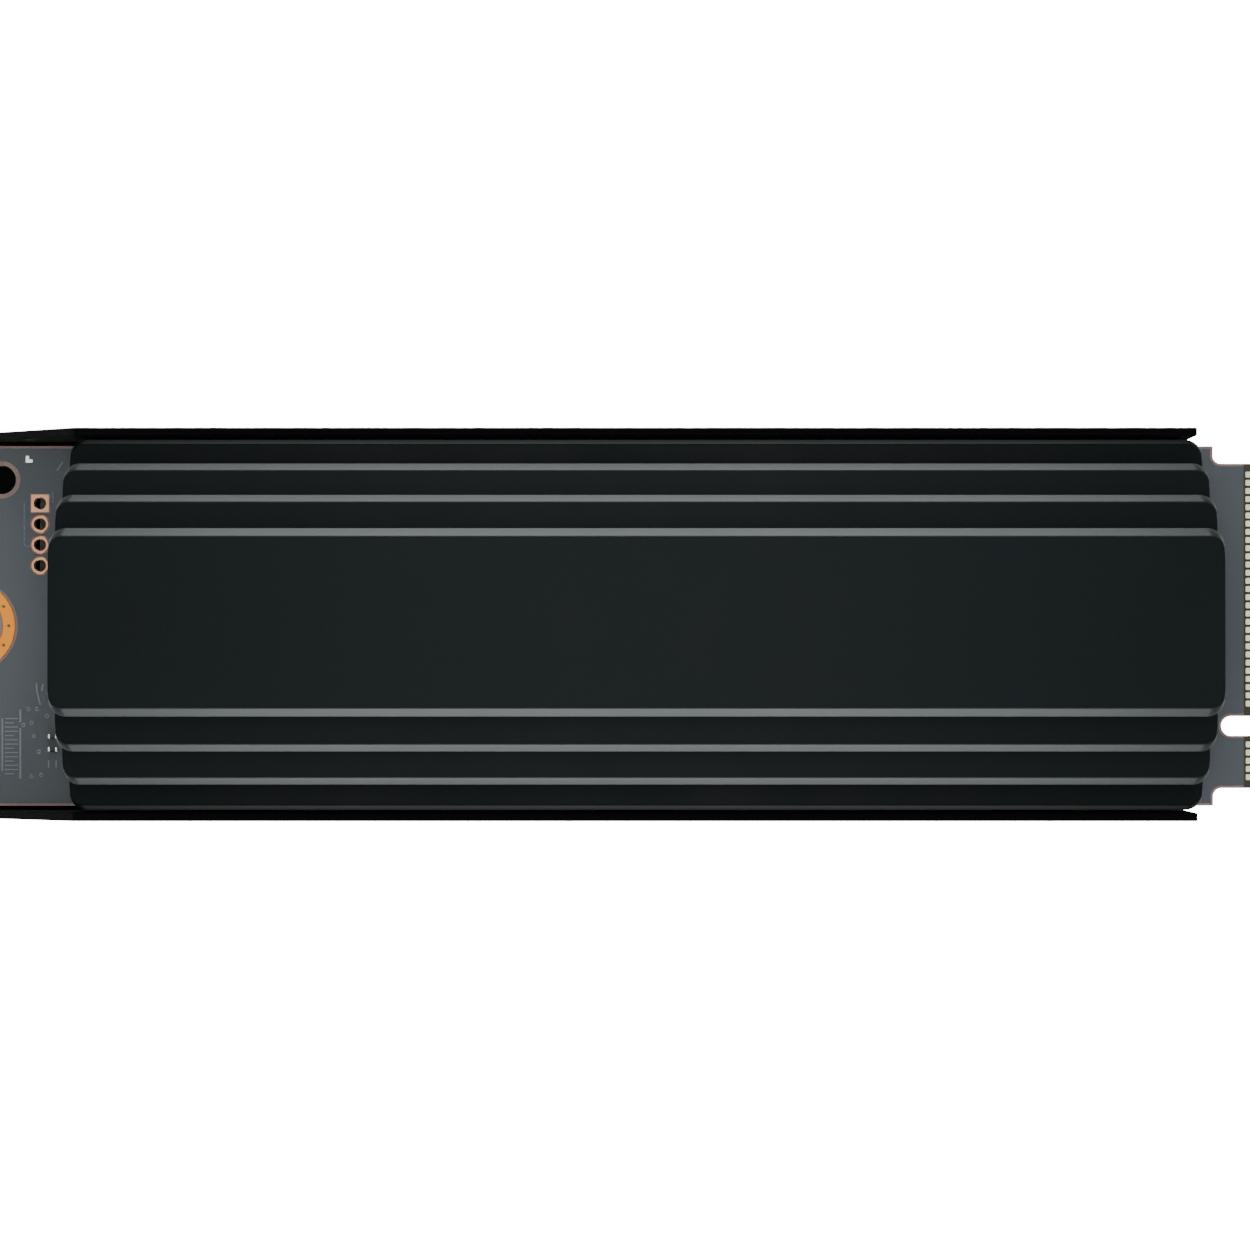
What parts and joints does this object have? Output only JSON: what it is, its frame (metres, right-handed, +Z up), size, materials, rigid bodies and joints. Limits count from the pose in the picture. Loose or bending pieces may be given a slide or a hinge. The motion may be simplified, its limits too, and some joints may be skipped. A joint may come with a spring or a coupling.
{
  "type": "gumstick solid state drive",
  "caption": "Long narrow keyed solid state drive card with an edge connector, held between a tall stepped black fin heatsink and a folded sheet tray.",
  "frame": {"origin": "on the tray's underside, below the middle of the card", "axes": "+X along the card towards its edge connector, +Y across it, +Z up through the fins"},
  "size_m": [0.08, 0.0234, 0.0205],
  "materials": {
    "card_laminate": "satin solder mask with gold plated contacts and rings",
    "black_anodised": "matte black anodised",
    "black_sheet": "matte black coating",
    "package_lid": "nickel plated lid on a laminate substrate",
    "moulding": "black epoxy moulding",
    "crystal_can": "metal lid on ceramic",
    "ferrite": "dark pressed ferrite",
    "capacitor_ceramic": "tan ceramic with tin ends",
    "resistor_glaze": "black glaze with tin ends",
    "pad_silicone": "soft grey silicone"
  },
  "bodies": {
    "root": {"circuit_board": "card_laminate", "heatsink": "black_anodised", "tray": "black_sheet", "controller": "package_lid", "power_chip": "moulding", "firmware_chip": "moulding", "crystal": "crystal_can", "flash_chip_1": "moulding", "flash_chip_2": "moulding", "flash_chip_3": "moulding", "flash_chip_4": "moulding", "cache_chip_top": "moulding", "cache_chip_bottom": "moulding", "inductor_1": "ferrite", "inductor_2": "ferrite", "inductor_3": "ferrite", "capacitor_1": "capacitor_ceramic", "capacitor_2": "capacitor_ceramic", "capacitor_3": "capacitor_ceramic", "capacitor_4": "capacitor_ceramic", "capacitor_5": "capacitor_ceramic", "capacitor_6": "capacitor_ceramic", "capacitor_7": "capacitor_ceramic", "capacitor_8": "capacitor_ceramic", "chip_resistor_1": "resistor_glaze", "chip_resistor_2": "resistor_glaze", "controller_pad": "pad_silicone", "memory_pad": "pad_silicone", "lower_pad": "pad_silicone"}
  },
  "joints": []
}
